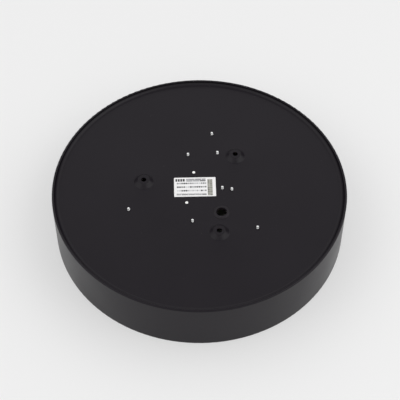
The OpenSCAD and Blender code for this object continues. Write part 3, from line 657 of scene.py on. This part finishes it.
def thread_loop(bm, place, height, tip):
    """Loop around a shank at a height: a ridge that winds up a core, thinner towards the tip."""
    thin = tip_share + (1 - tip_share) * min(1, (tip - height) / tip_taper)
    loop = []
    for k in range(screw_sides):
        phase = (height / screw_pitch - k / screw_sides) % 1
        ridge = max(0, 1 - abs(phase - 0.5) / ridge_half_share)
        radius = (screw_core_r + (screw_r - screw_core_r) * ridge) * thin
        angle = 2 * math.pi * k / screw_sides
        loop.append(bm.verts.new((place[0] + radius * math.cos(angle),
                                  place[1] + radius * math.sin(angle), height)))
    return loop


def tapping_screw(bm, place, seat, tip):
    """Pan head with a cross recess, a threaded shank and a tapered tip that ends in a small dome."""
    face = turned(bm, place, pan_head(seat), screw_sides)[1]
    recess = cross_recess(bm, place, seat - head_h)
    bmesh.ops.triangle_fill(bm, use_beauty=True, edges=loop_edges(bm, face) + loop_edges(bm, recess),
                            normal=(0, 0, -1))
    loops = []
    height = seat
    while height < tip - tip_dome_h:
        loops.append(thread_loop(bm, place, height, tip))
        height += screw_pitch / rings_per_turn
    shoulder = [v.co.xy for v in loops[-1]]
    for share, lift in tip_loops:
        level = height + (tip - height) * lift
        loops.append([bm.verts.new((*place.lerp(p, share), level)) for p in shoulder])
    skin_along(bm, loops)
    end = bm.verts.new((*place, tip))
    for k in range(screw_sides):
        bm.faces.new((loops[-1][k], loops[-1][(k + 1) % screw_sides], end))


for node in SCREWS:
    low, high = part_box(node)
    bm = bmesh.new()
    for place in screw_places(node):
        tapping_screw(bm, place, low.z + head_h, high.z)
    piece(node + "_threaded", finish_mesh(bm, node + "_threaded", thread_sharp), ZINC, "chassis",
          "zinc_plate", node)


# Light source


def emitters():
    """Light emitters on the board's ring: a white cup each, filled with phosphor resin."""
    size = Matrix.Diagonal((emitter_w, emitter_l, emitter_h, 1))
    on_board = Matrix.Translation((led_r, 0, board_low.z - emitter_h / 2))
    cups = bmesh.new()
    lenses = bmesh.new()
    for k in range(emitter_count):
        place = Matrix.Rotation((k + 0.5) * 2 * math.pi / emitter_count, 4, "Z") @ on_board
        made = bmesh.ops.create_cube(cups, size=1, matrix=place @ size)["verts"]
        front = min({f for v in made for f in v.link_faces}, key=lambda f: f.calc_center_median().z)
        bmesh.ops.inset_region(cups, faces=[front], thickness=cup_wall)
        for v in front.verts:
            v.co.z += cup_depth
        mouth = [v.co.copy() for v in front.verts]
        middle = sum(mouth, Vector()) / len(mouth)
        rim = [lenses.verts.new(p - Vector((0, 0, lens_edge_h))) for p in mouth]
        inner = [lenses.verts.new(middle.lerp(p, lens_crown_share) - Vector((0, 0, lens_crown_h)))
                 for p in mouth]
        skin_between(lenses, rim, inner)
        lenses.faces.new(inner)
        lenses.faces.new(list(reversed(rim)))
    piece("emitter_cups", finish_mesh(cups, "emitter_cups"), CUP, "chassis",
          "emitter_resin", "led_emitters")
    piece("emitter_lenses", finish_mesh(lenses, "emitter_lenses", lens_sharp), PHOSPHOR, "chassis",
          "emitter_resin")


emitters()
dress(MASK, "led_board")
softened("led_connector", NYLON, "chassis", "white_nylon", width=0.35 * MM)


# Driver

softened("driver_base", POLYCARBONATE, "chassis", "driver_plastic", width=0.3 * MM)
softened("driver_cover", POLYCARBONATE, "chassis", "driver_plastic", width=0.5 * MM)
dress(LAMINATE, "driver_circuit_board")
softened("driver_transformer", FERRITE, "chassis", "ferrite", width=0.4 * MM)
softened("driver_capacitors", SLEEVE, "chassis", "capacitor_sleeve", width=0.5 * MM)


# Terminal block and earth point

softened("terminal_block", NYLON, "chassis", "white_nylon", width=0.3 * MM)
softened("terminal_sleeves", BRASS, "chassis", "terminal_brass", width=0.12 * MM)
softened("terminal_clamp_screws", ZINC, "chassis", "zinc_plate", width=0.15 * MM)
softened("earth_washer", SPRING, "chassis", "spring_steel", width=0.1 * MM)
softened("earth_lug", TIN, "chassis", "tinned_copper", width=0.12 * MM)


# Leads

# Each has two ends, in millimetres: a place and the direction in which the lead leaves it.
# Its last number is how far both ends pull the lead in their directions.

under = plate_under / MM
pole_x, pole_z = 12.9, under - 5
entry_y, entry_z = -5.7, under - 14.5
output_x = -31.9
plug_z = under - 4.6
lug_z = under - 1.9
plug_out = Vector((*-polar(1, 150), 0))
lug_out = Vector((*polar(1, 225), 0))
LEADS = {
    "live_lead": ((pole_x, -17, pole_z), (1, 0, 0), (26, entry_y, entry_z), (0, -1, 0), 9),
    "neutral_lead": ((pole_x, -26.4, pole_z), (1, 0, 0), (30.5, entry_y, entry_z), (0, -1, 0), 13),
    "earth_lead": ((pole_x, -35.8, pole_z), (1, 0, 0), (42.04, -16.06, lug_z), lug_out, 14),
    "led_positive_lead": ((output_x, 11.2, entry_z), (-1, 0, 0), (-50.97, 27.12, plug_z), plug_out, 13),
    "led_negative_lead": ((output_x, 15.2, entry_z), (-1, 0, 0), (-48.97, 30.58, plug_z), plug_out, 13),
}


def lead(node, finish, slot, stripe=None):
    """Round insulated lead along its route. A stripe's finish runs along two sides of it."""
    first, first_out, last, last_out, pull = LEADS[node]
    first, last = Vector(first) * MM, Vector(last) * MM
    path = interpolate_bezier(first, first + Vector(first_out) * pull * MM,
                              last + Vector(last_out) * pull * MM, last, lead_steps)
    turns = [2 * math.pi * k / lead_sides for k in range(lead_sides)]
    bm = bmesh.new()
    loops = []
    across = Vector((0, 0, 1))
    for i, point in enumerate(path):
        along = heading_at(path, i)
        across = (across - along * across.dot(along)).normalized()
        side = along.cross(across)
        loops.append([bm.verts.new(point + lead_r * (math.cos(a) * across + math.sin(a) * side))
                      for a in turns])
    skin_along(bm, loops)
    if stripe:
        for i, face in enumerate(bm.faces):
            face.material_index = int(i % (lead_sides // 2) < stripe_sides)
    bm.faces.new(loops[0])
    bm.faces.new(loops[-1])
    made = piece(node + "_round", finish_mesh(bm, node + "_round"), finish, "chassis", slot, node)
    if stripe:
        made.data.materials.append(stripe)


lead("live_lead", vinyl("brown_vinyl", "#7d4a2b", "#6c3d22"), "brown_insulation")
lead("neutral_lead", vinyl("blue_vinyl", "#2f62b4", "#25529c"), "blue_insulation")
lead("earth_lead", vinyl("green_vinyl", "#3f8f38", "#347c2f"), "earth_insulation",
     vinyl("yellow_vinyl", "#e5cf3c", "#d6bf2c"))
lead("led_positive_lead", vinyl("red_vinyl", "#bd352d", "#a52b25"), "red_insulation")
lead("led_negative_lead", vinyl("black_vinyl", "#242427", "#1b1b1e"), "black_insulation")


# Spring clips


def clip_path():
    """Middle line of a hairpin clip in radius and height, from its welded flat to its lead-in."""
    leg_r = shelf_in_r - clip_span - 2 * clip_catch - clip_t
    bend_r = clip_span / 2
    flat = plate_under - clip_t / 2
    shoulder = arc(leg_r - clip_fillet, flat - clip_fillet, clip_fillet, 90, 0, round_steps)
    hairpin = arc(leg_r + bend_r, plate_under - clip_depth + bend_r, bend_r, 180, 360, clip_bend_steps)
    rise = Vector(hairpin[-1])
    bump = Vector((shelf_in_r + clip_catch - clip_t / 2, shelf_bottom - clip_catch - clip_t))
    tip = Vector((shelf_in_r - 2 * clip_catch, shelf_bottom + clip_t))
    below, above = (bump + (end - bump).normalized() * clip_knee for end in (rise, tip))
    crest = [below * (1 - t) ** 2 + bump * 2 * t * (1 - t) + above * t * t for t in crest_shares]
    return [Vector(p) for p in [(leg_r - clip_base, flat)] + shoulder + hairpin] + crest + [tip]


def spring_clips():
    """Three hairpins of spring strip, welded under the plate."""
    bm = bmesh.new()
    path = clip_path()
    for angle in clip_angles:
        turn = Matrix.Rotation(math.radians(angle), 4, "Z")
        loops = []
        for i, point in enumerate(path):
            along = heading_at(path, i)
            out = Vector((-along.y, along.x)) * clip_t / 2
            corners = [(point + out, 1), (point + out, -1), (point - out, -1), (point - out, 1)]
            loops.append([bm.verts.new(turn @ Vector((p.x, side * clip_w / 2, p.y)))
                          for p, side in corners])
        skin_along(bm, loops)
        bm.faces.new(loops[0])
        bm.faces.new(loops[-1])
    piece("shade_clips_bent", finish_mesh(bm, "shade_clips_bent"), SPRING, "chassis",
          "spring_steel", "shade_clips")


spring_clips()


# Floor, light and camera, in metres, degrees and watts

floor_half = 30
floor_glow = 0.45

# Camera fitted to the photograph: its target, the way to it, its distance, and its lens in millimetres

camera_target = Vector((-15.9, -3.38, 55)) * MM
camera_side = Vector((-0.604, -0.1065, 0.7898))
camera_distance = 1.124
camera_lens = 105.58
camera_sensor = 36
camera_azimuth = math.degrees(math.atan2(camera_side.y, camera_side.x))

# For each softbox its turn from the camera's side, its lift, its size and its power

softbox_distance = 1.7
SOFTBOXES = {
    "right_softbox": (85, 40, 1.9, 9),
    "left_softbox": (-85, 40, 1.9, 5.5),
    "front_right_softbox": (55, 50, 0.9, 0.6),
    "front_left_softbox": (-55, 50, 0.9, 0.6),
}


def pale_floor():
    """Matte white paper under the light. It goes with the shade, which is what lies on it."""
    made, tree = material("matte_white_paper")
    paper = add(tree, "ShaderNodeBsdfDiffuse", {"Color": srgb("#ebebeb")})
    glow = add(tree, "ShaderNodeEmission", {"Color": srgb("#f1f1f1")})
    seen = [add(tree, "ShaderNodeLightPath", out=ray)
            for ray in ("Is Camera Ray", "Is Glossy Ray", "Is Transmission Ray")]
    either = add(tree, "ShaderNodeMath", {0: seen[0], 1: seen[1]}, operation="MAXIMUM")
    any_of = add(tree, "ShaderNodeMath", {0: either, 1: seen[2]}, operation="MAXIMUM")
    share = add(tree, "ShaderNodeMath", {0: any_of, 1: floor_glow}, operation="MULTIPLY")
    shader = add(tree, "ShaderNodeMixShader", {0: share, 1: paper, 2: glow})
    add(tree, "ShaderNodeOutputMaterial", {"Surface": shader})
    bm = bmesh.new()
    bmesh.ops.create_grid(bm, x_segments=1, y_segments=1, size=floor_half)
    mesh = bpy.data.meshes.new("floor")
    bm.to_mesh(mesh)
    bm.free()
    mesh.materials.append(made)
    floor = bpy.data.objects.new("floor", mesh)
    bpy.context.scene.collection.objects.link(floor)
    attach(floor, "shade")


def studio_room():
    """Light of a room: bright halfway up, dimmer overhead, and dark low down.

    Low down there are also a window behind the camera and a backdrop opposite it.
    """
    dark, bright, overhead = 0.05, 1.12, 0.45
    low_from, low_to, top_from, top_to = 0.15, 0.55, 0.7, 0.95
    window_from, window_to, window_level = 0.5, 0.85, 0.7
    backdrop_from, backdrop_to, backdrop_level = -0.75, -0.95, 0.6
    world = bpy.data.worlds.new("studio_room")
    world.use_nodes = True
    tree = world.node_tree
    tree.nodes.clear()
    way = add(tree, "ShaderNodeTexCoord", out="Generated")
    height = add(tree, "ShaderNodeSeparateXYZ", {0: way}, out="Z")
    low = add(tree, "ShaderNodeMapRange",
              {"Value": height, "From Min": low_from, "From Max": low_to,
               "To Min": dark, "To Max": bright})
    room = add(tree, "ShaderNodeMapRange",
               {"Value": height, "From Min": top_from, "From Max": top_to,
                "To Min": low, "To Max": overhead})
    behind = add(tree, "ShaderNodeVectorMath", {0: way, 1: (*camera_side.xy.normalized(), 0)},
                 out="Value", operation="DOT_PRODUCT")
    window = add(tree, "ShaderNodeMapRange",
                 {"Value": behind, "From Min": window_from, "From Max": window_to,
                  "To Min": 0, "To Max": window_level})
    backdrop = add(tree, "ShaderNodeMapRange",
                   {"Value": behind, "From Min": backdrop_from, "From Max": backdrop_to,
                    "To Min": 0, "To Max": backdrop_level})
    ends = add(tree, "ShaderNodeMath", {0: window, 1: backdrop}, operation="MAXIMUM")
    level = add(tree, "ShaderNodeMath", {0: room, 1: ends}, operation="MAXIMUM")
    light = add(tree, "ShaderNodeBackground", {"Color": (1, 1, 1, 1), "Strength": level})
    add(tree, "ShaderNodeOutputWorld", {"Surface": light})
    bpy.context.scene.world = world


def softbox(name, turn, lift, size, power):
    """Square area lamp that faces the object from a direction."""
    lamp = bpy.data.lights.new(name, "AREA")
    lamp.shape = "SQUARE"
    lamp.size = size
    lamp.energy = power
    made = bpy.data.objects.new(name, lamp)
    bpy.context.scene.collection.objects.link(made)
    flat = polar(1, camera_azimuth + turn)
    out = Vector((*flat * math.cos(math.radians(lift)), math.sin(math.radians(lift))))
    made.location = out * softbox_distance
    made.rotation_euler = out.to_track_quat("Z", "Y").to_euler()


def photo_camera():
    """Camera at the photograph's place, for a square picture."""
    camera = bpy.data.cameras.new("photo_camera")
    camera.lens = camera_lens
    camera.sensor_width = camera_sensor
    made = bpy.data.objects.new("photo_camera", camera)
    bpy.context.scene.collection.objects.link(made)
    made.location = camera_target + camera_side.normalized() * camera_distance
    made.rotation_euler = camera_side.to_track_quat("Z", "Y").to_euler()
    bpy.context.scene.camera = made


pale_floor()
studio_room()
for name, setting in SOFTBOXES.items():
    softbox(name, *setting)
photo_camera()
bpy.context.scene.view_settings.view_transform = "Standard"
